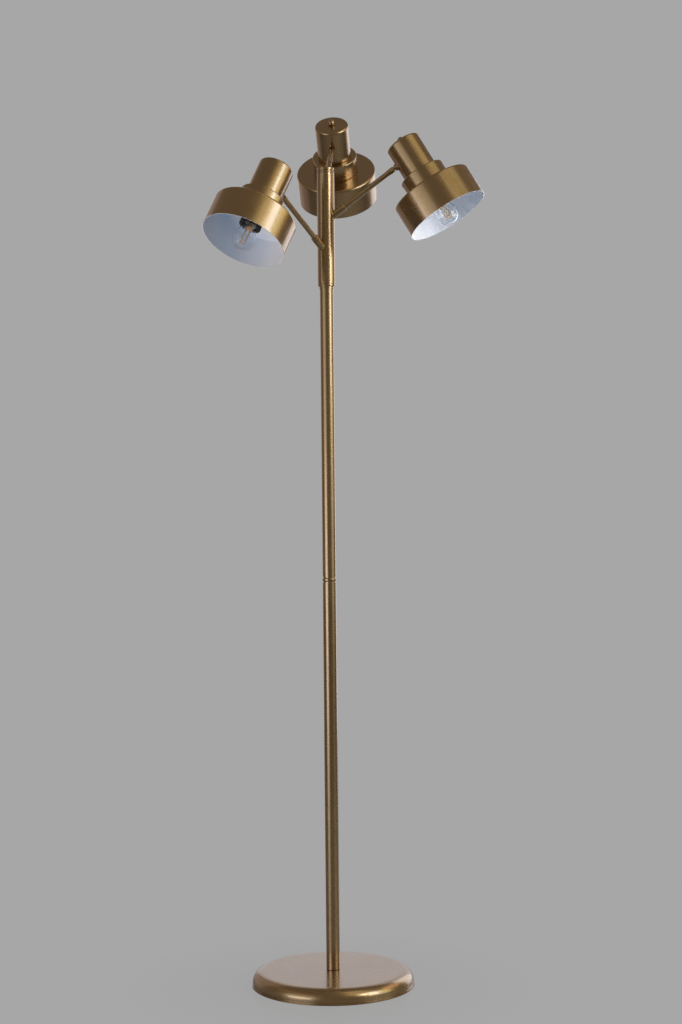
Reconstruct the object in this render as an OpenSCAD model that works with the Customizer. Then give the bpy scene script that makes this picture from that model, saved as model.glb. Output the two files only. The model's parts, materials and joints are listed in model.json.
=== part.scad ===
// Three-head adjustable floor lamp: weighted round base, two-piece pole, head tube
// and three spot heads that tilt and swivel.
// Frame: millimetres, +Z up, origin on the floor at the centre of the base, viewer on the -Y side.

/* [Base] */
// Outer diameter of the base at its bottom lip
base_diameter = 300; // [240:1:340]
// Height of the base cover above the floor
base_height = 28; // [26:0.5:40]
// Radius of the rounded top edge of the base cover
base_edge_radius = 20; // [12:0.5:22]
// Sheet thickness of the base cover
base_wall = 1.5; // [1:0.1:2.5]
// How far the bottom lip of the base cover stands out
base_lip_reach = 1.5; // [0.8:0.1:3]
// Height of the bottom lip of the base cover
base_lip_height = 3; // [2:0.1:3.4]
// Height of the cover's lower rim above the floor
base_rim_gap = 1; // [0.5:0.1:1.5]
// Thickness of the felt pad under the base
pad_thickness = 3; // [2:0.1:5]
// Outer diameter of the felt pad
pad_diameter = 284; // [200:1:288]
// Diameter of the cast iron weight
weight_diameter = 290; // [220:1:292]
// Thickness of the disc of the cast iron weight
weight_thickness = 12; // [8:0.5:16]
// Diameter of the boss in the middle of the weight that carries the cover
weight_boss_diameter = 60; // [50:1:80]
// Diameter of the hollow threaded stud that holds the pole to the base
stud_diameter = 10; // [8:0.5:12]
// Diameter of the wire bore through the stud
stud_bore = 6; // [4:0.5:7]
// Height of the nut under the weight
base_nut_height = 5; // [4:0.5:6]
// Width of the nut across its corners
base_nut_corners = 20; // [18:0.5:24]
// Diameter of the cord opening in the grommet
cord_opening = 6; // [5:0.5:7]
// Height of the cord opening above the floor
cord_height = 9.5; // [9:0.1:10.5]

/* [Pole] */
// Outer diameter of the pole
pole_diameter = 25; // [20:0.5:28]
// Wall thickness of the pole tubes
pole_wall = 1.25; // [0.8:0.05:1.4]
// Height of the lower end of the coupler ring
coupler_z = 740; // [500:1:900]
// Height of the coupler ring between the two pole tubes
coupler_height = 15; // [12:0.5:20]
// How much the middle of the coupler ring stands out from the pole
coupler_bead = 0.35; // [0.2:0.05:1]
// Length of each coupler spigot inside the pole tubes
coupler_spigot = 25; // [15:1:40]
// Thickness of the protective ring under the pole
foot_ring_thickness = 0.8; // [0.5:0.1:2]

/* [Head tube] */
// Outer diameter of the head tube
tube_diameter = 32; // [30:0.5:36]
// Wall thickness of the head tube
tube_wall = 1.5; // [1:0.1:2]
// Height of the lower end of the collar under the head tube
collar_z = 1282; // [1200:1:1290]
// Height of the top of the lamp column
column_top = 1504; // [1504:1:1560]

/* [Arms] */
// Distance from the pole axis to the axis of a head, measured along the arm
arm_reach = 195; // [185:1:215]
// Rise of the arms above the horizontal, in degrees
arm_rise = 34.5; // [30:0.5:37]
// Outer diameter of the arm rods
arm_diameter = 9.5; // [8:0.5:10]
// Wall thickness of the arm rods
arm_wall = 1.2; // [0.8:0.1:1.6]
// Diameter of the arm sockets on the head tube
socket_diameter = 13.6; // [12.4:0.2:14.4]
// Distance along the arm from the pole axis to the outer end of the socket
socket_end = 44; // [42:0.5:55]
// Height where the axis of the left arm crosses the pole axis
left_arm_z = 1349; // [1325:1:1360]
// Height where the axis of the right arm crosses the pole axis
right_arm_z = 1407; // [1390:1:1420]
// Height where the axis of the back arm crosses the pole axis
back_arm_z = 1472; // [1450:1:1472]
// Direction of the left arm around the pole, in degrees from +X
left_arm_turn = 233; // [225:1:245]
// Direction of the right arm around the pole, in degrees from +X
right_arm_turn = -15; // [-24:1:0]
// Direction of the back arm around the pole, in degrees from +X
back_arm_turn = 85; // [80:1:100]

/* [Head pose] */
// Tilt of the left head at its knuckle, in degrees
left_tilt = 3; // [-20:1:20]
// Tilt of the right head at its knuckle, in degrees
right_tilt = 3; // [-20:1:20]
// Tilt of the back head at its knuckle, in degrees
back_tilt = -7; // [-20:1:20]
// Swivel of the left head about its knuckle stem, in degrees
left_swivel = -3; // [-40:1:40]
// Swivel of the right head about its knuckle stem, in degrees
right_swivel = -1; // [-40:1:40]
// Swivel of the back head about its knuckle stem, in degrees
back_swivel = -1; // [-40:1:40]

/* [Shade] */
// Outer diameter of the drum shade
shade_diameter = 153; // [130:1:160]
// Height of the drum shade
shade_height = 59.5; // [52:0.5:70]
// Radius of the top edge of the drum shade
shade_edge_radius = 4; // [2:0.5:8]
// Sheet thickness of the shade, the neck and the cap
sheet = 1; // [0.8:0.1:1.5]
// Outer diameter of the neck above the shade
neck_diameter = 85; // [76:1:92]
// Height of the neck
neck_height = 33.5; // [30:0.5:38]
// Radius of the top edge of the neck
neck_edge_radius = 2; // [1:0.5:3]
// Outer diameter of the cap that houses the switch
cap_diameter = 64; // [59:1:65]
// Height of the cap
cap_height = 68; // [64:0.5:72]
// Radius of the lower edges of the neck and the cap
foot_edge_radius = 1.5; // [0.5:0.25:1.5]
// Radius of the top edge of the cap
cap_edge_radius = 4; // [1.5:0.5:5]
// Height of the knuckle stem above the lower end of the cap
stem_height = 36; // [34:0.5:40]
// Thickness of the cap floor that the lampholder screws into
cap_floor = 3; // [2:0.5:4]

/* [Knuckle] */
// Distance from the knuckle pin to the axis of the head
pin_offset = 41.5; // [41:0.5:45.5]
// Diameter of the knuckle fork
fork_diameter = 10.6; // [10.2:0.2:11.2]
// Length of the knuckle fork behind its pin
fork_length = 9; // [8:0.5:12]
// Width over the flat faces of the fork cheeks
fork_flats = 9; // [8.6:0.1:9.6]
// Thickness of the knuckle tongue
tongue_thickness = 3.4; // [3:0.1:3.6]
// Thickness of each friction washer
washer_thickness = 0.5; // [0.4:0.1:0.6]
// Diameter of the knuckle pin
pin_diameter = 4; // [3:0.5:4]
// Diameter of the swivel stem through the cap wall
stem_diameter = 8; // [7:0.5:8.5]
// Diameter of the swivel flange and of its seat on the cap
flange_diameter = 13; // [12:0.5:14]

/* [Lampholder and bulb] */
// Outer diameter of the lampholder body
holder_diameter = 39; // [36:0.5:42]
// Height of the lampholder mouth above the rim of the shade
holder_mouth = 31; // [28:0.5:34]
// Diameter of the flange that clamps the shade to the neck
holder_flange = 50; // [46:0.5:56]
// Outer diameter of the notched ring on the lampholder
ring_diameter = 41; // [40:0.5:46]
// Height of the notched ring
ring_height = 14; // [10:0.5:16]
// Number of notches around the ring
ring_notches = 16; // [8:1:24]
// Diameter of the glass globe of the bulb
globe_diameter = 40; // [38:1:44]
// Height of the globe centre above the rim of the shade
globe_z = 3; // [1:0.5:6]
// Thickness of the bulb glass
glass_wall = 0.8; // [0.6:0.1:1.2]
// Diameter of the bulb glass where it enters the screw base
glass_neck_diameter = 24; // [22:0.5:24.4]
// Number of LED filaments in the bulb
filament_count = 4; // [2:1:6]
// Diameter of each LED filament
filament_diameter = 1.8; // [1.2:0.1:2.4]
// Diameter of the circle on which the filaments stand
filament_circle = 11; // [8:0.5:14]

/* [Switch] */
// Diameter of the ball knob
knob_diameter = 12.6; // [11:0.2:14]
// Height of the knob centre above the cap
knob_rise = 5; // [4:0.1:5.6]
// Diameter of the switch body in the cap
switch_diameter = 26; // [20:0.5:28]
// Height of the switch body in the cap
switch_height = 22; // [15:0.5:24]

/* [Hidden] */
$fn = 96;
fit = 0.05;
running_fit = 0.06;
face_gap = 0.15;
seat_gap = 0.3;
least_edge = 0.2;
cut = 1;

base_r = base_diameter / 2;
base_wall_r = base_r - base_lip_reach;
cover_inner_z = base_height - base_wall;
weight_top = pad_thickness + weight_thickness;
nut_pocket_depth = 8;
nut_pocket_r = 17;
pocket_ceiling = pad_thickness + nut_pocket_depth;
washer_r = 14;
washer_height = 1.5;
stud_r = stud_diameter / 2;
stud_stand_out = 1;
stud_reach = 32;
stud_bottom = pocket_ceiling - washer_height - base_nut_height - stud_stand_out;
stud_top = base_height + stud_reach;
channel_width = 9;
grommet_wall = 1.2;
grommet_flange_reach = 1.2;
grommet_r = cord_opening / 2 + grommet_wall;
grommet_flange_r = grommet_r + grommet_flange_reach;
grommet_flange = 1.4;
grommet_depth = 5;
plug_height = 24;
foot_ring_inset = 0.4;

pole_r = pole_diameter / 2;
pole_bore_r = pole_r - pole_wall;
pole_foot = base_height + foot_ring_thickness;
wire_hole_r = 5;
coupler_top = coupler_z + coupler_height;
groove_width = 1.6;
groove_depth = 0.7;
deep_groove = 1.4;
groove_inset = 2.4;
coupler_edge = 2.4;
coupler_bead_z = groove_inset + groove_width;

tube_r = tube_diameter / 2;
tube_bore_r = tube_r - tube_wall;
collar_rim_height = 2.2;
collar_gap_height = 2.2;
collar_bead_height = 4.2;
collar_groove_height = 1.4;
collar_rim_reach = 1;
collar_gap_reach = 0.6;
collar_rim_r = pole_r + collar_rim_reach;
collar_gap_r = pole_r + collar_gap_reach;
bead_edge = 1;
collar_gap_z = collar_z + collar_rim_height;
collar_bead_z = collar_gap_z + collar_gap_height;
collar_groove_z = collar_bead_z + collar_bead_height;
tube_bottom = collar_groove_z + collar_groove_height;
pole_insert = 16;
pole_stop = tube_bottom + pole_insert;
collar_web = 5;
collar_plug_top = pole_stop + collar_web;
cap_bead_height = 5;
cap_groove_height = 1.8;
cap_groove_depth = 2.2;
cap_head_height = 4.4;
top_bead_height = 3.4;
tube_top = column_top - cap_head_height - cap_groove_height - cap_bead_height;
top_plug_depth = 3.5;

socket_r = socket_diameter / 2;
spigot_r = 5;
spigot_inner_r = 13;
arm_r = arm_diameter / 2;
arm_bore_r = arm_r - arm_wall;
rod_start = 28;
socket_ring = 3;
socket_groove = 1.2;
socket_groove_depth = 0.8;
socket_taper = 1.5;
socket_mouth_wall = 0.6;
pin_u = arm_reach - pin_offset;
fork_start = pin_u - fork_length;
fork_spigot = 6;

fork_r = fork_diameter / 2;
slot_floor_gap = 1;
cheek_gap = tongue_thickness + 2 * washer_thickness + 2 * face_gap;
pin_r = pin_diameter / 2;
tongue_r = 4.4;
slot_start = -tongue_r - slot_floor_gap;
washer_ring_r = 4.1;
screw_head_r = 2.8;
screw_head_height = 1.4;
screw_slot = 0.8;
tongue_web_height = 6.4;
flange_r = flange_diameter / 2;
stem_r = stem_diameter / 2;
wire_bore_r = 2.2;
boss_reach = 1.8;
cap_r = cap_diameter / 2;
boss_x = pin_offset - cap_r - boss_reach;
flange_x = boss_x - face_gap;
flange_thickness = 1.6;
rivet_x = pin_offset - sqrt(pow(cap_r - sheet, 2) - pow(flange_r, 2)) + seat_gap;
rivet_thickness = 2.5;
wire_port_r = 1.2;
wire_port_angle = 40;
flange_inset = 0.3;
web_overlap = 0.5;
web_end = flange_x - flange_thickness + web_overlap;

shade_r = shade_diameter / 2;
neck_r = neck_diameter / 2;
neck_bottom = shade_height;
neck_foot_wall = 3;
neck_foot_inner_r = neck_r - neck_foot_wall;
neck_foot_height = 3;
cap_bottom = neck_bottom + neck_height;
head_top = cap_bottom + cap_height;
stem_z = cap_bottom + stem_height;

holder_r = holder_diameter / 2;
holder_step = 2;
holder_thread_r = holder_r - holder_step;
holder_bore_r = 13.6;
holder_rise = 24;
holder_top = neck_bottom + holder_rise;
holder_crown_r = 10;
holder_flange_height = 2.5;
holder_ring_seat = holder_mouth + ring_height;
nipple_r = 5;
nipple_bore_r = 3;
nipple_stand_out = 2;
nipple_top = cap_bottom + cap_floor + nipple_stand_out;
shade_hole_r = holder_r + seat_gap;
ring_r = ring_diameter / 2;
ring_step = 0.6;
ring_collar = 2;
notch_width = 3.2;
notch_depth = 8;
ring_clearance = 0.5;

base_shell_r = 12.6;
thread_ridge_r = 0.9;
thread_pitch = 3.6;
thread_ridges = 5;
thread_first = 8;
bulb_base_depth = 3;
bulb_base_z = holder_mouth + bulb_base_depth;
bulb_shell_height = 24;
bulb_shoulder_r = 8;
bulb_shoulder_height = 2;
contact_r = 4.5;
contact_height = 4;
contact_top = bulb_base_z + bulb_shell_height + contact_height;
glass_depth = 5;
globe_r = globe_diameter / 2;
glass_neck_r = glass_neck_diameter / 2;
glass_top = bulb_base_z + glass_depth;
glass_neck_length = 2;
glass_neck_z = bulb_base_z - glass_neck_length;
stem_glass_r = 2.6;
filament_rise = 22;
filament_drop = 6;
filament_top = globe_z + filament_rise;
filament_bottom = globe_z - filament_drop;
filament_plate = 1;
filament_wire_r = 0.5;

knob_r = knob_diameter / 2;
knob_stem_r = 2.4;
knob_z = head_top + knob_rise;
knob_foot = head_top + seat_gap;
bushing_r = 4.6;
switch_r = switch_diameter / 2;
switch_top = head_top - sheet;
switch_bottom = switch_top - switch_height;
knob_stem_depth = 10;
knob_stem_bottom = switch_top - knob_stem_depth;

LEFT = [left_arm_turn, left_arm_z, left_tilt, left_swivel];
RIGHT = [right_arm_turn, right_arm_z, right_tilt, right_swivel];
BACK = [back_arm_turn, back_arm_z, back_tilt, back_swivel];
ARMS = [LEFT, RIGHT, BACK];

BRASS = [0.45, 0.34, 0.18];
STEEL = [0.62, 0.63, 0.65];
IRON = [0.2, 0.2, 0.21];
BLACK = [0.05, 0.05, 0.05];
GLASS = [0.85, 0.9, 0.92, 0.35];
AMBER = [0.95, 0.6, 0.2];
FELT = [0.12, 0.12, 0.12];
NYLON = [0.85, 0.84, 0.8];

// ---- shared shapes ----

// half section of a disc with a rounded upper edge
module rounded_disc_section(r, h, edge) {
  square([r - edge, h]);
  square([r, h - edge]);
  translate([r - edge, h - edge]) intersection() {
    circle(edge);
    square(edge);
  }
}

// cup that is closed at the top and open below
module cup(r, h, edge, wall, top) {
  rotate_extrude() difference() {
    rounded_disc_section(r, h, edge);
    translate([0, -cut]) rounded_disc_section(r - wall, h - top + cut, max(edge - wall, least_edge));
  }
}

// ring with a square section
module ring(outer, inner, h) {
  difference() {
    cylinder(r = outer, h = h);
    translate([0, 0, -cut]) cylinder(r = inner, h = h + 2 * cut);
  }
}

// ring whose outer face is rounded at both edges
module bead(outer, inner, h, edge) {
  rotate_extrude() {
    translate([inner, 0]) square([outer - edge - inner, h]);
    translate([inner, edge]) square([outer - inner, h - 2 * edge]);
    translate([outer - edge, edge]) circle(edge);
    translate([outer - edge, h - edge]) circle(edge);
  }
}

// ring whose outer face is rounded at its lower edge
module footed_ring(outer, inner, h, edge) {
  rotate_extrude() {
    translate([inner, 0]) square([outer - edge - inner, h]);
    translate([inner, edge]) square([outer - inner, h - edge]);
    translate([outer - edge, edge]) circle(edge);
  }
}

// rod along +X from a to b
module rod_x(r, a, b) {
  translate([a, 0, 0]) rotate([0, 90, 0]) cylinder(r = r, h = b - a);
}

// rod along +Y from a to b
module rod_y(r, a, b) {
  translate([0, a, 0]) rotate([-90, 0, 0]) cylinder(r = r, h = b - a);
}

// ---- placing of the arms and heads ----

// children in the arm frame: +X outwards along the arm from the pole axis
module on_arm(arm) {
  translate([0, 0, arm[1]]) rotate([0, 0, arm[0]]) rotate([0, -arm_rise, 0]) children();
}

// children in the knuckle frame: origin on the pin, +X towards the head
module on_knuckle(arm) {
  on_arm(arm) translate([pin_u, 0, 0]) rotate([0, arm[2], 0]) rotate([arm[3], 0, 0]) children();
}

// children in the tongue frame: tilts with the pin but does not swivel
module on_tongue(arm) {
  on_arm(arm) translate([pin_u, 0, 0]) rotate([0, arm[2], 0]) children();
}

// children in the head frame: origin at the centre of the shade rim, +Z along the head axis
module on_head(arm) {
  on_knuckle(arm) translate([pin_offset, 0, -stem_z]) children();
}

// ---- base ----

// children along the axis of the cord opening: +X outwards, at the back of the base
module on_cord_axis() {
  translate([0, 0, cord_height]) rotate([0, 0, 90]) children();
}

// the base cover before it is hollowed
module cover_body() {
  translate([0, 0, base_rim_gap]) rotate_extrude() {
    rounded_disc_section(base_wall_r, base_height - base_rim_gap, base_edge_radius);
    square([base_r, base_lip_height]);
  }
}

module base_cover() {
  color(BRASS) difference() {
    cover_body();
    translate([0, 0, base_rim_gap - cut]) rotate_extrude()
      rounded_disc_section(
        base_wall_r - base_wall, cover_inner_z - base_rim_gap + cut, base_edge_radius - base_wall
      );
    cylinder(r = stud_r + fit, h = base_height + cut);
    on_cord_axis() rod_x(grommet_r + fit, base_wall_r - base_edge_radius, base_r + cut);
  }
}

module base_weight() {
  color(IRON) difference() {
    union() {
      translate([0, 0, pad_thickness]) cylinder(d = weight_diameter, h = weight_thickness);
      translate([0, 0, weight_top]) cylinder(d = weight_boss_diameter, h = cover_inner_z - weight_top);
    }
    cylinder(r = stud_r + fit, h = base_height);
    translate([0, 0, pad_thickness - cut]) cylinder(r = nut_pocket_r, h = nut_pocket_depth + cut);
    translate([-channel_width / 2, 0, pad_thickness - cut])
      cube([channel_width, base_r, cord_height + channel_width / 2 - pad_thickness + cut]);
  }
}

module base_pad() {
  color(FELT) cylinder(d = pad_diameter, h = pad_thickness);
}

module base_stud() {
  color(STEEL) translate([0, 0, stud_bottom]) ring(stud_r, stud_bore / 2, stud_top - stud_bottom);
}

module base_washer() {
  color(STEEL) translate([0, 0, pocket_ceiling - washer_height])
    ring(washer_r, stud_r + fit, washer_height);
}

module base_nut() {
  color(STEEL) translate([0, 0, pocket_ceiling - washer_height - base_nut_height]) difference() {
    cylinder(d = base_nut_corners, h = base_nut_height, $fn = 6);
    translate([0, 0, -cut]) cylinder(r = stud_r + fit, h = base_nut_height + 2 * cut);
  }
}

module cord_grommet() {
  color(BLACK) difference() {
    on_cord_axis() difference() {
      rod_x(grommet_flange_r, base_wall_r - grommet_depth, base_wall_r + grommet_flange);
      rod_x(cord_opening / 2, base_wall_r - base_edge_radius, base_r + grommet_depth);
    }
    difference() {
      cover_body();
      on_cord_axis() rod_x(grommet_r, base_wall_r - base_edge_radius, base_r + grommet_depth);
    }
  }
}

// ---- pole ----

module foot_ring() {
  color(BLACK) translate([0, 0, base_height])
    ring(pole_r - foot_ring_inset, stud_r + fit, foot_ring_thickness);
}

module foot_plug() {
  color(STEEL) translate([0, 0, pole_foot]) ring(pole_bore_r - fit, stud_r + fit, plug_height);
}

module lower_pole() {
  color(BRASS) translate([0, 0, pole_foot]) ring(pole_r, pole_bore_r, coupler_z - pole_foot);
}

module pole_coupler() {
  color(BRASS) difference() {
    union() {
      translate([0, 0, coupler_z - coupler_spigot])
        cylinder(r = pole_bore_r - fit, h = 2 * coupler_spigot + coupler_height);
      for (z = [coupler_z, coupler_top - groove_inset]) translate([0, 0, z])
        cylinder(r = pole_r, h = groove_inset);
      translate([0, 0, coupler_z]) cylinder(r = pole_r - deep_groove, h = coupler_height);
      translate([0, 0, coupler_z + coupler_bead_z])
        bead(pole_r + coupler_bead, 0, coupler_height - 2 * coupler_bead_z, coupler_edge);
    }
    translate([0, 0, coupler_z - coupler_spigot - cut])
      cylinder(r = wire_hole_r, h = 2 * coupler_spigot + coupler_height + 2 * cut);
  }
}

module upper_pole() {
  color(BRASS) translate([0, 0, coupler_top]) ring(pole_r, pole_bore_r, pole_stop - coupler_top);
}

// ---- head tube ----

module tube_collar() {
  color(BRASS) difference() {
    union() {
      translate([0, 0, collar_z]) cylinder(r = collar_rim_r, h = collar_rim_height);
      translate([0, 0, collar_gap_z]) cylinder(r = collar_gap_r, h = collar_gap_height);
      translate([0, 0, collar_bead_z]) bead(tube_r, pole_r, collar_bead_height, bead_edge);
      translate([0, 0, collar_groove_z]) cylinder(r = tube_r - groove_depth, h = collar_groove_height);
      translate([0, 0, tube_bottom]) cylinder(r = tube_bore_r - fit, h = collar_plug_top - tube_bottom);
    }
    translate([0, 0, collar_z - cut]) cylinder(r = pole_r + fit, h = pole_stop - collar_z + cut);
    translate([0, 0, pole_stop - cut]) cylinder(r = wire_hole_r, h = collar_plug_top - pole_stop + 2 * cut);
  }
}

module head_tube() {
  color(BRASS) difference() {
    translate([0, 0, tube_bottom]) ring(tube_r, tube_bore_r, tube_top - tube_bottom);
    for (arm = ARMS) on_arm(arm) rod_x(spigot_r + fit, 0, tube_diameter);
  }
}

module top_cap() {
  bead_z = tube_top + cap_bead_height;
  head_z = bead_z + cap_groove_height;
  color(BRASS) {
    translate([0, 0, tube_top - top_plug_depth]) cylinder(r = tube_bore_r - fit, h = top_plug_depth);
    translate([0, 0, tube_top]) cylinder(r = tube_r - groove_depth, h = cap_bead_height - top_bead_height);
    translate([0, 0, bead_z - top_bead_height]) bead(tube_r, 0, top_bead_height, bead_edge);
    translate([0, 0, bead_z]) cylinder(r = tube_r - cap_groove_depth, h = cap_groove_height);
    translate([0, 0, head_z]) rotate_extrude() rounded_disc_section(tube_r, cap_head_height, bead_edge);
  }
}

// ---- arms ----

module arm_socket(arm) {
  groove_u = socket_end - socket_taper - socket_ring;
  color(BRASS) difference() {
    union() {
      difference() {
        on_arm(arm) union() {
          rod_x(socket_r, 0, groove_u - socket_groove);
          rod_x(socket_r - socket_groove_depth, 0, groove_u + cut);
          rod_x(socket_r, groove_u, groove_u + socket_ring);
          translate([groove_u + socket_ring, 0, 0]) rotate([0, 90, 0])
            cylinder(r1 = socket_r, r2 = arm_r + socket_mouth_wall, h = socket_taper);
        }
        translate([0, 0, arm[1] - socket_end]) cylinder(r = tube_r, h = 2 * socket_end);
      }
      difference() {
        on_arm(arm) rod_x(spigot_r, 0, rod_start);
        translate([0, 0, arm[1] - socket_end]) cylinder(r = spigot_inner_r, h = 2 * socket_end);
      }
    }
    on_arm(arm) {
      rod_x(arm_bore_r, -cut, rod_start + cut);
      rod_x(arm_r + fit, rod_start, socket_end + cut);
    }
  }
}

module arm_rod(arm) {
  color(BRASS) on_arm(arm) difference() {
    rod_x(arm_r, rod_start, fork_start);
    rod_x(arm_bore_r, rod_start - cut, fork_start + cut);
  }
}

module arm_fork(arm) {
  color(BRASS) on_arm(arm) translate([pin_u, 0, 0]) difference() {
    union() {
      intersection() {
        rod_x(fork_r, -fork_length, fork_r);
        union() {
          translate([-fork_length, -fork_r, -fork_r]) cube([fork_length, fork_diameter, fork_diameter]);
          rod_y(fork_r, -fork_r, fork_r);
        }
      }
      rod_x(arm_bore_r - fit, -fork_length - fork_spigot, -fork_length);
    }
    rod_x(wire_bore_r, -fork_length - fork_spigot - cut, slot_start + cut);
    translate([slot_start, -cheek_gap / 2, -fork_r - cut])
      cube([fork_r - slot_start + cut, cheek_gap, fork_diameter + 2 * cut]);
    rod_y(pin_r + fit, -fork_r - cut, fork_r + cut);
    rod_y(screw_head_r + seat_gap, -fork_r - cut, -fork_flats / 2);
    rod_y(screw_head_r + seat_gap, fork_flats / 2, fork_r + cut);
  }
}

module tilt_screws() {
  head_y = fork_flats / 2;
  color(BRASS) for (arm = ARMS) on_arm(arm) translate([pin_u, 0, 0]) difference() {
    union() {
      rod_y(pin_r, -head_y - cut, head_y + screw_head_height / 2);
      rod_y(screw_head_r, -head_y - screw_head_height, -head_y);
    }
    translate([-screw_head_r - cut, -head_y - screw_head_height - cut, -screw_slot / 2])
      cube([2 * screw_head_r + 2 * cut, screw_slot + cut, screw_slot]);
  }
}

module tilt_washers() {
  outer_y = cheek_gap / 2;
  color(NYLON) for (arm = ARMS) on_arm(arm) translate([pin_u, 0, 0])
    for (y = [-outer_y, outer_y - washer_thickness]) difference() {
      rod_y(washer_ring_r, y, y + washer_thickness);
      rod_y(pin_r + fit, y - cut, y + washer_thickness + cut);
    }
}

module knuckle(arm) {
  color(BRASS) on_tongue(arm) difference() {
    union() {
      rod_y(tongue_r, -tongue_thickness / 2, tongue_thickness / 2);
      translate([0, -tongue_thickness / 2, -tongue_web_height / 2])
        cube([web_end, tongue_thickness, tongue_web_height]);
      rod_x(flange_r - flange_inset, flange_x - flange_thickness, flange_x);
      rod_x(stem_r, flange_x - cut, rivet_x + rivet_thickness);
      rod_x(flange_r, rivet_x, rivet_x + rivet_thickness);
    }
    rod_y(pin_r + running_fit, -tongue_thickness, tongue_thickness);
    rod_x(wire_bore_r, web_end, rivet_x + rivet_thickness + cut);
    translate([flange_x - flange_thickness + wire_bore_r, 0, 0]) rotate([0, -wire_port_angle, 0])
      cylinder(r = wire_port_r, h = flange_r + cut);
  }
}

// ---- heads ----

module head_cap(arm) {
  color(BRASS) on_head(arm) difference() {
    union() {
      translate([0, 0, cap_bottom]) footed_ring(cap_r, 0, cap_floor, foot_edge_radius);
      translate([0, 0, cap_bottom + cap_floor])
        cup(cap_r, cap_height - cap_floor, cap_edge_radius, sheet, sheet);
      difference() {
        translate([0, 0, stem_z]) rod_x(flange_r, -cap_r - boss_reach, sheet - cap_r + cut);
        translate([0, 0, cap_bottom]) cylinder(r = cap_r - sheet / 2, h = cap_height);
      }
    }
    translate([0, 0, cap_bottom - cut]) cylinder(r = nipple_r + fit, h = cap_floor + 2 * cut);
    translate([0, 0, head_top - sheet - cut]) cylinder(r = bushing_r + fit, h = sheet + 2 * cut);
    translate([0, 0, stem_z]) rod_x(stem_r + running_fit, -cap_r - boss_reach - cut, -cap_r / 2);
  }
}

module head_neck(arm) {
  color(BRASS) on_head(arm) difference() {
    union() {
      translate([0, 0, neck_bottom])
        footed_ring(neck_r, neck_foot_inner_r, neck_foot_height, foot_edge_radius);
      translate([0, 0, neck_bottom + neck_foot_height])
        cup(neck_r, neck_height - neck_foot_height, neck_edge_radius, sheet, sheet);
    }
    translate([0, 0, cap_bottom - sheet - cut]) cylinder(r = nipple_r + fit, h = sheet + 2 * cut);
  }
}

module head_shade(arm) {
  color(BRASS) on_head(arm) difference() {
    cup(shade_r, shade_height, shade_edge_radius, sheet, sheet);
    translate([0, 0, shade_height - sheet - cut]) cylinder(r = shade_hole_r, h = sheet + 2 * cut);
  }
}

module lampholder(arm) {
  flange_top = shade_height - sheet;
  color(BLACK) on_head(arm) difference() {
    union() {
      translate([0, 0, holder_mouth + ring_clearance])
        cylinder(r = holder_thread_r, h = holder_top - holder_mouth - ring_clearance);
      translate([0, 0, holder_ring_seat]) cylinder(r = holder_r, h = holder_top - holder_ring_seat);
      translate([0, 0, flange_top - holder_flange_height])
        cylinder(d = holder_flange, h = holder_flange_height);
      translate([0, 0, holder_top])
        cylinder(r1 = holder_r, r2 = holder_crown_r, h = cap_bottom - sheet - holder_top);
      translate([0, 0, holder_top]) cylinder(r = nipple_r, h = nipple_top - holder_top);
    }
    translate([0, 0, holder_mouth]) cylinder(r = holder_bore_r, h = contact_top - holder_mouth);
    translate([0, 0, holder_top]) cylinder(r = nipple_bore_r, h = nipple_top - holder_top + cut);
  }
}

module holder_ring(arm) {
  color(BLACK) on_head(arm) difference() {
    translate([0, 0, holder_mouth]) union() {
      cylinder(r = ring_r - ring_step, h = ring_height);
      translate([0, 0, ring_height - ring_collar]) cylinder(r = ring_r + ring_step, h = ring_collar);
    }
    translate([0, 0, holder_mouth - cut]) cylinder(r = holder_thread_r + fit, h = ring_height + 2 * cut);
    for (i = [0:ring_notches - 1]) rotate([0, 0, i * 360 / ring_notches])
      translate([0, -notch_width / 2, holder_mouth - cut])
        cube([ring_r + cut, notch_width, notch_depth + cut]);
  }
}

// angle on the globe where the straight neck line touches it
function touch_angle(r, x, y) = atan2(y, x) - acos(r / norm([x, y]));

// half section of the bulb outline for a globe and a neck radius
module bulb_section(r, neck, top) {
  a = touch_angle(r, neck, glass_neck_z - globe_z);
  intersection() {
    translate([0, globe_z - 2 * r]) square([2 * r, 4 * r]);
    translate([0, globe_z]) circle(r);
  }
  polygon([
    [0, globe_z],
    [r * cos(a), globe_z + r * sin(a)],
    [neck, glass_neck_z],
    [neck, top],
    [0, top]
  ]);
}

module bulb_glass(arm) {
  color(GLASS) on_head(arm) rotate_extrude() difference() {
    bulb_section(globe_r, glass_neck_r, glass_top);
    bulb_section(globe_r - glass_wall, glass_neck_r - glass_wall, glass_top + cut);
  }
}

module bulb_base(arm) {
  shell_top = bulb_base_z + bulb_shell_height;
  color(STEEL) on_head(arm) difference() {
    union() {
      translate([0, 0, bulb_base_z]) cylinder(r = base_shell_r, h = bulb_shell_height);
      for (i = [0:thread_ridges - 1]) translate([0, 0, bulb_base_z + thread_first + i * thread_pitch])
        rotate_extrude() translate([base_shell_r, 0]) circle(thread_ridge_r, $fn = 24);
      translate([0, 0, shell_top])
        cylinder(r1 = base_shell_r, r2 = bulb_shoulder_r, h = bulb_shoulder_height);
      translate([0, 0, shell_top]) cylinder(r = contact_r, h = contact_top - shell_top);
    }
    translate([0, 0, bulb_base_z - cut]) cylinder(r = glass_neck_r + fit, h = glass_depth + cut);
  }
}

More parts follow.
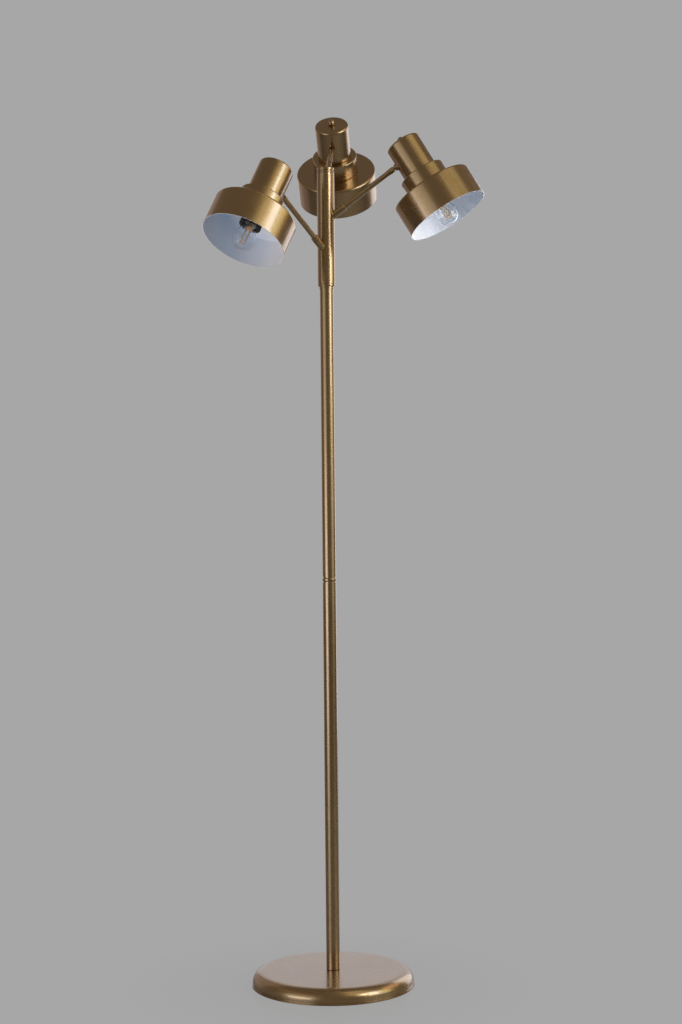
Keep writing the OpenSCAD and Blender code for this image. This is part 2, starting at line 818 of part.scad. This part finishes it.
module bulb_filament(arm) {
  color(AMBER) on_head(arm) {
    translate([0, 0, filament_top]) cylinder(r = stem_glass_r, h = glass_top - filament_top);
    translate([0, 0, filament_top])
      cylinder(d = filament_circle + 2 * filament_diameter, h = filament_plate);
    for (i = [0:filament_count - 1]) rotate([0, 0, i * 360 / filament_count])
      translate([filament_circle / 2, 0, filament_bottom])
        cylinder(d = filament_diameter, h = filament_top - filament_bottom + filament_plate / 2, $fn = 24);
    translate([0, 0, filament_bottom]) rotate_extrude()
      translate([filament_circle / 2, 0]) circle(filament_wire_r, $fn = 24);
  }
}

module rotary_switch(arm) {
  color(BLACK) on_head(arm) difference() {
    union() {
      translate([0, 0, switch_bottom]) cylinder(r = switch_r, h = switch_height);
      translate([0, 0, switch_top - cut]) cylinder(r = bushing_r, h = sheet + cut);
    }
    translate([0, 0, knob_stem_bottom - seat_gap])
      cylinder(r = knob_stem_r + running_fit, h = head_top - knob_stem_bottom + cut);
  }
}

module ball_knob(arm) {
  color(BRASS) on_head(arm) {
    difference() {
      translate([0, 0, knob_z]) sphere(knob_r);
      translate([0, 0, knob_foot - knob_diameter]) cylinder(r = knob_diameter, h = knob_diameter);
    }
    translate([0, 0, knob_stem_bottom]) cylinder(r = knob_stem_r, h = knob_z - knob_stem_bottom);
  }
}

base_cover();
base_weight();
base_pad();
base_stud();
base_washer();
base_nut();
cord_grommet();
foot_ring();
foot_plug();
lower_pole();
pole_coupler();
upper_pole();
tube_collar();
head_tube();
top_cap();
arm_socket(LEFT);  // left_arm_socket
arm_socket(RIGHT);  // right_arm_socket
arm_socket(BACK);  // back_arm_socket
arm_rod(LEFT);  // left_arm_rod
arm_rod(RIGHT);  // right_arm_rod
arm_rod(BACK);  // back_arm_rod
arm_fork(LEFT);  // left_arm_fork
arm_fork(RIGHT);  // right_arm_fork
arm_fork(BACK);  // back_arm_fork
tilt_screws();
tilt_washers();
knuckle(LEFT);  // left_knuckle
knuckle(RIGHT);  // right_knuckle
knuckle(BACK);  // back_knuckle
head_cap(LEFT);  // left_cap
head_cap(RIGHT);  // right_cap
head_cap(BACK);  // back_cap
head_neck(LEFT);  // left_neck
head_neck(RIGHT);  // right_neck
head_neck(BACK);  // back_neck
head_shade(LEFT);  // left_shade
head_shade(RIGHT);  // right_shade
head_shade(BACK);  // back_shade
lampholder(LEFT);  // left_lampholder
lampholder(RIGHT);  // right_lampholder
lampholder(BACK);  // back_lampholder
holder_ring(LEFT);  // left_holder_ring
holder_ring(RIGHT);  // right_holder_ring
holder_ring(BACK);  // back_holder_ring
bulb_glass(LEFT);  // left_bulb_glass
bulb_glass(RIGHT);  // right_bulb_glass
bulb_glass(BACK);  // back_bulb_glass
bulb_base(LEFT);  // left_bulb_base
bulb_base(RIGHT);  // right_bulb_base
bulb_base(BACK);  // back_bulb_base
bulb_filament(LEFT);  // left_filament
bulb_filament(RIGHT);  // right_filament
bulb_filament(BACK);  // back_filament
rotary_switch(LEFT);  // left_switch
rotary_switch(RIGHT);  // right_switch
rotary_switch(BACK);  // back_switch
ball_knob(LEFT);  // left_knob
ball_knob(RIGHT);  // right_knob
ball_knob(BACK);  // back_knob
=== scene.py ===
"""Looks of a three-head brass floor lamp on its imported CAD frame, in metres, +Z up, with the viewer on -Y.

Every piece of the lamp is a CAD node, so this script adds only materials, a floor, lights and a camera.
"""

import json
import math

import bpy
from mathutils import Matrix, Vector

SIDES = ("left", "right", "back")
MICRON = 0.000001

# Nearly all of a noise's values lie between these two
NOISE_LOW = 0.3
NOISE_HIGH = 0.7

# A face of a shade is white when its normal points this far towards the axis or this far down along it
INWARD = 0.3
DOWNWARD = 0.5

# The backdrop's grey as the camera sees it, and the dim warm room that lights and is mirrored
BACKGROUND = 0.386
ROOM = (0.18, 0.15, 0.12)

# The camera sees the backdrop's grey on the floor, mixed with less of it near the lamp, where the shadow is
FLOOR_RADIUS = 12.0
FLOOR_TONE = 0.3
SHADOW_RADIUS = 0.15
BLEND_RADIUS = 0.5
SHADOW_BLEND = 0.88

# Lights stand on rings round the lamp; those for the insides of the shades face the heads and fan out less
RING = 3.4
HALO_RING = 3.5
BACK_RING = 3.6
NEAR_RING = 2.2
HEADS_HEIGHT = 1.4
INNER_SPREAD = 110.0

# The photo's camera: lengths of lens and sensor in millimetres, angles in degrees
SENSOR_WIDTH = 36.0
FOCAL_LENGTH = 64.66
CAMERA_PLACE = (0.0225, -3.388, 0.9046)
CAMERA_DOWN = 0.556
CAMERA_ROLL = -0.554

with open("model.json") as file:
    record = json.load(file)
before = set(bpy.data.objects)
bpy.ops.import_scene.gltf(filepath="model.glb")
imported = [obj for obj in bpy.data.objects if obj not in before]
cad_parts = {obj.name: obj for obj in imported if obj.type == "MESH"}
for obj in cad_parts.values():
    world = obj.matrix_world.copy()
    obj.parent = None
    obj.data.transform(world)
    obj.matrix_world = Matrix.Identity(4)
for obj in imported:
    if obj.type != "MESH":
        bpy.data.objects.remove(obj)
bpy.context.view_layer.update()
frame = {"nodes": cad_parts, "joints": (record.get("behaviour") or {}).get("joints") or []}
nodes = frame["nodes"]
joints = {j["name"]: j for j in frame["joints"]}


# ---- materials ----


class Surface:
    """A node material built round one Principled shader; sizes are in metres."""

    def __init__(self, name, colour, roughness, metallic=0.0, **sockets):
        self.mat = bpy.data.materials.new(name)
        self.mat.use_nodes = True
        self.mat.diffuse_color = (*colour, 1.0)
        self.tree = self.mat.node_tree
        self.bsdf = self.tree.nodes["Principled BSDF"]
        self.bsdf.inputs["Base Color"].default_value = (*colour, 1.0)
        self.bsdf.inputs["Roughness"].default_value = roughness
        self.bsdf.inputs["Metallic"].default_value = metallic
        for socket, value in sockets.items():
            self.bsdf.inputs[socket.replace("_", " ")].default_value = value
        self.where = self.tree.nodes.new("ShaderNodeTexCoord").outputs["Object"]

    def node(self, kind, **settings):
        """A new shader node; each setting is an input socket or else a property."""
        made = self.tree.nodes.new(kind)
        for key, value in settings.items():
            if key in made.inputs:
                made.inputs[key].default_value = value
            else:
                setattr(made, key, value)
        return made

    def link(self, out, into):
        self.tree.links.new(out, into)

    def noise(self, size, detail=3.0, stretch=(1.0, 1.0, 1.0)):
        """Noise whose blobs are about size metres across."""
        mapping = self.node("ShaderNodeMapping", Scale=stretch)
        self.link(self.where, mapping.inputs["Vector"])
        made = self.node("ShaderNodeTexNoise", Scale=1.0 / size, Detail=detail)
        self.link(mapping.outputs["Vector"], made.inputs["Vector"])
        return made.outputs["Fac"]

    def between(self, fac, low, high):
        """fac remapped, so that nearly all of a noise lies between low and high."""
        made = self.node("ShaderNodeMapRange")
        made.inputs["From Min"].default_value = NOISE_LOW
        made.inputs["From Max"].default_value = NOISE_HIGH
        made.inputs["To Min"].default_value = low
        made.inputs["To Max"].default_value = high
        self.link(fac, made.inputs["Value"])
        return made.outputs["Result"]

    def tint(self, fac, dark, light):
        """Base colour that follows fac, a noise, from dark to light."""
        ramp = self.node("ShaderNodeValToRGB")
        ends = ((NOISE_LOW, dark), (NOISE_HIGH, light))
        for element, (position, colour) in zip(ramp.color_ramp.elements, ends):
            element.position = position
            element.color = (*colour, 1.0)
        self.link(fac, ramp.inputs["Fac"])
        self.link(ramp.outputs["Color"], self.bsdf.inputs["Base Color"])

    def rough(self, fac, low, high):
        """Roughness that follows fac between low and high."""
        self.link(self.between(fac, low, high), self.bsdf.inputs["Roughness"])

    def bump(self, fac, depth):
        """Raises the surface by up to depth metres where fac is high."""
        made = self.node("ShaderNodeBump", Strength=1.0, Distance=depth)
        self.link(fac, made.inputs["Height"])
        self.link(made.outputs["Normal"], self.bsdf.inputs["Normal"])


def shade_of(colour, gain):
    """The colour made darker or lighter by gain."""
    return tuple(min(1.0, c * gain) for c in colour)


def brass_lacquer():
    """Antique brass under clear lacquer: fine metallic grain, slow tone drift, faint orange peel."""
    tone = (0.45, 0.305, 0.155)
    s = Surface("brass_lacquer", tone, 0.27, 1.0, Coat_Weight=0.8, Coat_Roughness=0.07, Coat_IOR=1.5)
    drift = s.noise(0.09, 2.0)
    grain = s.noise(0.0012, 2.0)
    # Float sockets of a Mix node: 0 is the share of the second value, 2 and 3 are the two values
    mixed = s.node("ShaderNodeMix", data_type="FLOAT")
    mixed.inputs[0].default_value = 0.12
    s.link(drift, mixed.inputs[2])
    s.link(grain, mixed.inputs[3])
    s.tint(mixed.outputs[0], shade_of(tone, 0.95), shade_of(tone, 1.05))
    s.rough(s.noise(0.02, 4.0), 0.245, 0.295)
    s.bump(s.noise(0.0025, 2.0), 2 * MICRON)
    return s.mat


def white_enamel():
    """Baked white enamel inside the shades."""
    s = Surface("white_enamel", (0.82, 0.86, 0.93), 0.42, Coat_Weight=0.15, Coat_Roughness=0.25)
    s.tint(s.noise(0.03, 3.0), (0.8, 0.84, 0.91), (0.84, 0.88, 0.95))
    s.rough(s.noise(0.01, 3.0), 0.38, 0.48)
    s.bump(s.noise(0.0018, 2.0), 30 * MICRON)
    return s.mat


def black_phenolic():
    """Moulded black plastic with a faint mould texture."""
    s = Surface("black_phenolic", (0.012, 0.012, 0.013), 0.35)
    s.tint(s.noise(0.004, 3.0), (0.008, 0.008, 0.009), (0.017, 0.017, 0.018))
    s.rough(s.noise(0.003, 3.0), 0.3, 0.45)
    s.bump(s.noise(0.0007, 2.0), 30 * MICRON)
    return s.mat


def clear_glass():
    """Thin clear glass with a trace of waviness."""
    s = Surface("clear_glass", (0.97, 0.985, 0.99), 0.02, Transmission_Weight=1.0, IOR=1.45)
    s.rough(s.noise(0.02, 2.0), 0.01, 0.03)
    s.bump(s.noise(0.012, 1.0), 40 * MICRON)
    return s.mat


def filament_amber():
    """Amber phosphor coat of the LED filaments on their glass stem."""
    s = Surface("filament_amber", (0.95, 0.56, 0.26), 0.5, Subsurface_Weight=0.2)
    s.tint(s.noise(0.002, 3.0), (0.9, 0.48, 0.2), (0.98, 0.64, 0.34))
    s.rough(s.noise(0.001, 2.0), 0.45, 0.65)
    s.bump(s.noise(0.0006, 2.0), 40 * MICRON)
    return s.mat


def plated_steel(name, colour, grain_size):
    """Bright plated steel with fine turning marks."""
    s = Surface(name, colour, 0.3, 1.0)
    s.tint(s.noise(0.006, 4.0), shade_of(colour, 0.85), shade_of(colour, 1.1))
    s.rough(s.noise(grain_size, 3.0, (1.0, 1.0, 6.0)), 0.22, 0.42)
    s.bump(s.noise(grain_size, 2.0, (1.0, 1.0, 8.0)), 20 * MICRON)
    return s.mat


def cast_iron():
    """Dark cast iron with a sandy skin."""
    s = Surface("cast_iron", (0.05, 0.05, 0.052), 0.7, 0.6)
    s.tint(s.noise(0.008, 5.0), (0.03, 0.028, 0.027), (0.075, 0.075, 0.078))
    s.rough(s.noise(0.004, 4.0), 0.6, 0.85)
    s.bump(s.noise(0.0016, 4.0), 300 * MICRON)
    return s.mat


def felt():
    """Dark felt with short fibres."""
    s = Surface("felt", (0.02, 0.02, 0.02), 0.95, Sheen_Weight=0.4, Sheen_Roughness=0.5)
    s.tint(s.noise(0.0015, 5.0), (0.012, 0.012, 0.012), (0.035, 0.034, 0.033))
    s.rough(s.noise(0.002, 3.0), 0.9, 1.0)
    s.bump(s.noise(0.0007, 5.0), 300 * MICRON)
    return s.mat


def black_rubber():
    """Matt black rubber."""
    s = Surface("black_rubber", (0.014, 0.014, 0.014), 0.7)
    s.tint(s.noise(0.003, 3.0), (0.01, 0.01, 0.01), (0.02, 0.02, 0.02))
    s.rough(s.noise(0.002, 3.0), 0.6, 0.8)
    s.bump(s.noise(0.0006, 3.0), 60 * MICRON)
    return s.mat


def nylon():
    """Milky nylon washers."""
    s = Surface("nylon", (0.62, 0.6, 0.55), 0.45, Subsurface_Weight=0.1)
    s.tint(s.noise(0.003, 2.0), (0.56, 0.54, 0.5), (0.68, 0.66, 0.61))
    s.rough(s.noise(0.002, 2.0), 0.4, 0.55)
    s.bump(s.noise(0.0008, 2.0), 20 * MICRON)
    return s.mat


finishes = {
    "brass_lacquer": brass_lacquer(),
    "black_phenolic": black_phenolic(),
    "clear_glass": clear_glass(),
    "filament_amber": filament_amber(),
    "zinc_steel": plated_steel("zinc_steel", (0.5, 0.51, 0.53), 0.001),
    "nickel_steel": plated_steel("nickel_steel", (0.62, 0.6, 0.57), 0.0008),
    "cast_iron": cast_iron(),
    "felt": felt(),
    "black_rubber": black_rubber(),
    "nylon": nylon(),
}
enamel = white_enamel()

for node in nodes.values():
    for slot in node.material_slots:
        slot.material = finishes[slot.material.name.split(".")[0]]


def enamel_inside(side):
    """White enamel on the inner faces and the rim of a shade, brass outside."""
    shade = nodes[side + "_shade"]
    axle = joints[side + "_switch_turn"]
    along = Vector(axle["axis"]).normalized()
    origin = Vector(axle["pos_m"])
    shade.data.materials.append(enamel)
    for face in shade.data.polygons:
        offset = face.center - origin
        outward = offset - along * offset.dot(along)
        inner = face.normal.dot(outward.normalized()) < -INWARD or face.normal.dot(along) < -DOWNWARD
        face.material_index = 1 if inner else 0


for side in SIDES:
    enamel_inside(side)


# ---- floor, light and camera ----


def grey(tone):
    return (tone, tone, tone, 1.0)


def world_light():
    """A dim warm room; the camera and the clear glass see one even grey."""
    world = bpy.data.worlds.new("studio")
    bpy.context.scene.world = world
    world.use_nodes = True
    tree = world.node_tree
    lit = tree.nodes["Background"]
    lit.inputs["Color"].default_value = (*ROOM, 1.0)
    seen = tree.nodes.new("ShaderNodeBackground")
    seen.inputs["Color"].default_value = grey(BACKGROUND)
    path = tree.nodes.new("ShaderNodeLightPath")
    either = tree.nodes.new("ShaderNodeMath")
    either.operation = "MAXIMUM"
    mix = tree.nodes.new("ShaderNodeMixShader")
    tree.links.new(path.outputs["Is Camera Ray"], either.inputs[0])
    tree.links.new(path.outputs["Is Transmission Ray"], either.inputs[1])
    tree.links.new(either.outputs[0], mix.inputs["Fac"])
    tree.links.new(lit.outputs[0], mix.inputs[1])
    tree.links.new(seen.outputs[0], mix.inputs[2])
    tree.links.new(mix.outputs[0], tree.nodes["World Output"].inputs["Surface"])


def studio_floor():
    """A wide floor that keeps the lamp's shadow near it and fades into the backdrop's grey further out."""
    bpy.ops.mesh.primitive_circle_add(vertices=96, radius=FLOOR_RADIUS, fill_type="NGON")
    floor = bpy.context.object
    floor.name = "studio_floor"
    mat = bpy.data.materials.new("studio_floor")
    mat.use_nodes = True
    tree = mat.node_tree
    paint = tree.nodes["Principled BSDF"]
    paint.inputs["Base Color"].default_value = grey(FLOOR_TONE)
    paint.inputs["Roughness"].default_value = 0.3
    glow = tree.nodes.new("ShaderNodeEmission")
    glow.inputs["Color"].default_value = grey(BACKGROUND)
    where = tree.nodes.new("ShaderNodeTexCoord").outputs["Object"]
    length = tree.nodes.new("ShaderNodeVectorMath")
    length.operation = "LENGTH"
    fade = tree.nodes.new("ShaderNodeMapRange")
    fade.interpolation_type = "SMOOTHSTEP"
    fade.inputs["From Min"].default_value = SHADOW_RADIUS
    fade.inputs["From Max"].default_value = BLEND_RADIUS
    fade.inputs["To Min"].default_value = SHADOW_BLEND
    fade.inputs["To Max"].default_value = 1.0
    path = tree.nodes.new("ShaderNodeLightPath")
    only = tree.nodes.new("ShaderNodeMath")
    only.operation = "MULTIPLY"
    mix = tree.nodes.new("ShaderNodeMixShader")
    tree.links.new(where, length.inputs[0])
    tree.links.new(length.outputs["Value"], fade.inputs["Value"])
    tree.links.new(fade.outputs["Result"], only.inputs[0])
    tree.links.new(path.outputs["Is Camera Ray"], only.inputs[1])
    tree.links.new(only.outputs[0], mix.inputs["Fac"])
    tree.links.new(paint.outputs[0], mix.inputs[1])
    tree.links.new(glow.outputs[0], mix.inputs[2])
    tree.links.new(mix.outputs[0], tree.nodes["Material Output"].inputs["Surface"])
    floor.data.materials.append(mat)


def softbox(name, turn, height, size, radiance, colour, ring=RING, aim=None):
    """A soft light turn degrees to the right of the camera's side, facing the lamp's axis at height aim.

    It stands at radius ring. Without aim it faces the axis at its own height.
    """
    a = math.radians(turn)
    data = bpy.data.lights.new(name, "AREA")
    data.shape = "RECTANGLE"
    data.size, data.size_y = size
    data.energy = radiance * math.pi * data.size * data.size_y
    data.color = colour
    light = bpy.data.objects.new(name, data)
    bpy.context.scene.collection.objects.link(light)
    light.location = (ring * math.sin(a), -ring * math.cos(a), height)
    facing = Vector((0.0, 0.0, height if aim is None else aim)) - light.location
    light.rotation_euler = facing.to_track_quat("-Z", "Y").to_euler()
    light.visible_camera = False
    return light


def inner_light(name, turn, height, size, radiance, colour, ring=NEAR_RING):
    """A light for the white insides of the shades, which shiny surfaces don't mirror."""
    light = softbox(name, turn, height, size, radiance, colour, ring, HEADS_HEIGHT)
    light.visible_glossy = False
    light.data.spread = math.radians(INNER_SPREAD)


def key_lights():
    """The bright lights on the right, at several heights, with a weak halo round them."""
    softbox("key_low", 62.0, 1.65, (0.9, 0.7), 4.0, (0.88, 1.0, 1.08))
    softbox("key_high", 66.0, 2.6, (0.85, 1.5), 2.7, (0.82, 1.0, 1.4))
    softbox("key_side", 85.0, 1.85, (0.9, 2.0), 0.8, (1.02, 1.0, 0.45))
    softbox("key_halo", 66.0, 1.95, (2.5, 3.1), 0.45, (0.9, 1.0, 0.93), ring=HALO_RING)
    softbox("key_front", 48.0, 2.35, (0.6, 0.8), 7.5, (1.0, 1.0, 0.95))


def fill_lights():
    """A low wide light on the left with its halo."""
    softbox("fill", -47.0, 0.47, (2.1, 1.05), 1.45, (0.92, 1.0, 1.22))
    softbox("fill_halo", -50.0, 1.4, (3.0, 2.0), 0.45, (0.95, 1.0, 1.02), ring=HALO_RING)


def high_lights():
    """Weak warm glows from above and from the upper sides."""
    softbox("top_glow", 42.0, 3.6, (2.6, 1.1), 0.77, (1.07, 1.0, 0.65))
    softbox("high_glow", 56.0, 4.5, (2.2, 1.8), 0.52, (1.07, 1.0, 0.54), ring=2.0, aim=HEADS_HEIGHT)
    softbox("side_glow", 107.0, 2.9, (2.0, 2.0), 0.5, (1.6, 1.0, 0.55), ring=BACK_RING)
    softbox("left_glow", -65.0, 3.6, (5.0, 0.9), 0.15, (1.6, 1.0, 0.2), ring=HALO_RING)


def back_lights():
    """A rim light at the back right, and the lit backdrop that the base's top mirrors."""
    softbox("rim", 141.0, 1.4, (1.6, 2.8), 1.12, (0.95, 1.0, 1.17))
    softbox("backdrop", 176.0, 1.9, (3.0, 3.8), 0.43, (0.94, 1.0, 1.2), ring=BACK_RING)
    softbox("backdrop_left", -140.0, 1.9, (3.0, 3.8), 0.13, (1.25, 1.0, 1.0), ring=BACK_RING)


def shade_lights():
    """The light that reaches into the shades from below the heads."""
    inner_light("inner_left", -70.0, 0.5, (1.4, 0.8), 1.7, (1.3, 1.0, 0.75))
    inner_light("inner_front", -5.0, 0.3, (1.6, 0.6), 0.4, (0.4, 1.0, 1.7), ring=1.8)
    inner_light("inner_right", 76.0, 1.1, (1.4, 0.8), 3.3, (1.1, 1.0, 0.93))
    inner_light("inner_side", 105.0, 1.2, (1.4, 0.8), 1.3, (1.15, 1.0, 0.9))


def camera():
    """The photo's camera, fitted to the lamp's edges: it points a little down and is rolled a little."""
    data = bpy.data.cameras.new("camera")
    data.sensor_width = SENSOR_WIDTH
    data.lens = FOCAL_LENGTH
    data.clip_end = 100.0
    made = bpy.data.objects.new("camera", data)
    bpy.context.scene.collection.objects.link(made)
    pitch = Matrix.Rotation(math.radians(90.0 - CAMERA_DOWN), 4, "X")
    roll = Matrix.Rotation(math.radians(CAMERA_ROLL), 4, "Z")
    made.matrix_world = Matrix.Translation(CAMERA_PLACE) @ pitch @ roll
    bpy.context.scene.camera = made


world_light()
studio_floor()
key_lights()
fill_lights()
high_lights()
back_lights()
shade_lights()
camera()
bpy.context.scene.view_settings.view_transform = "Standard"
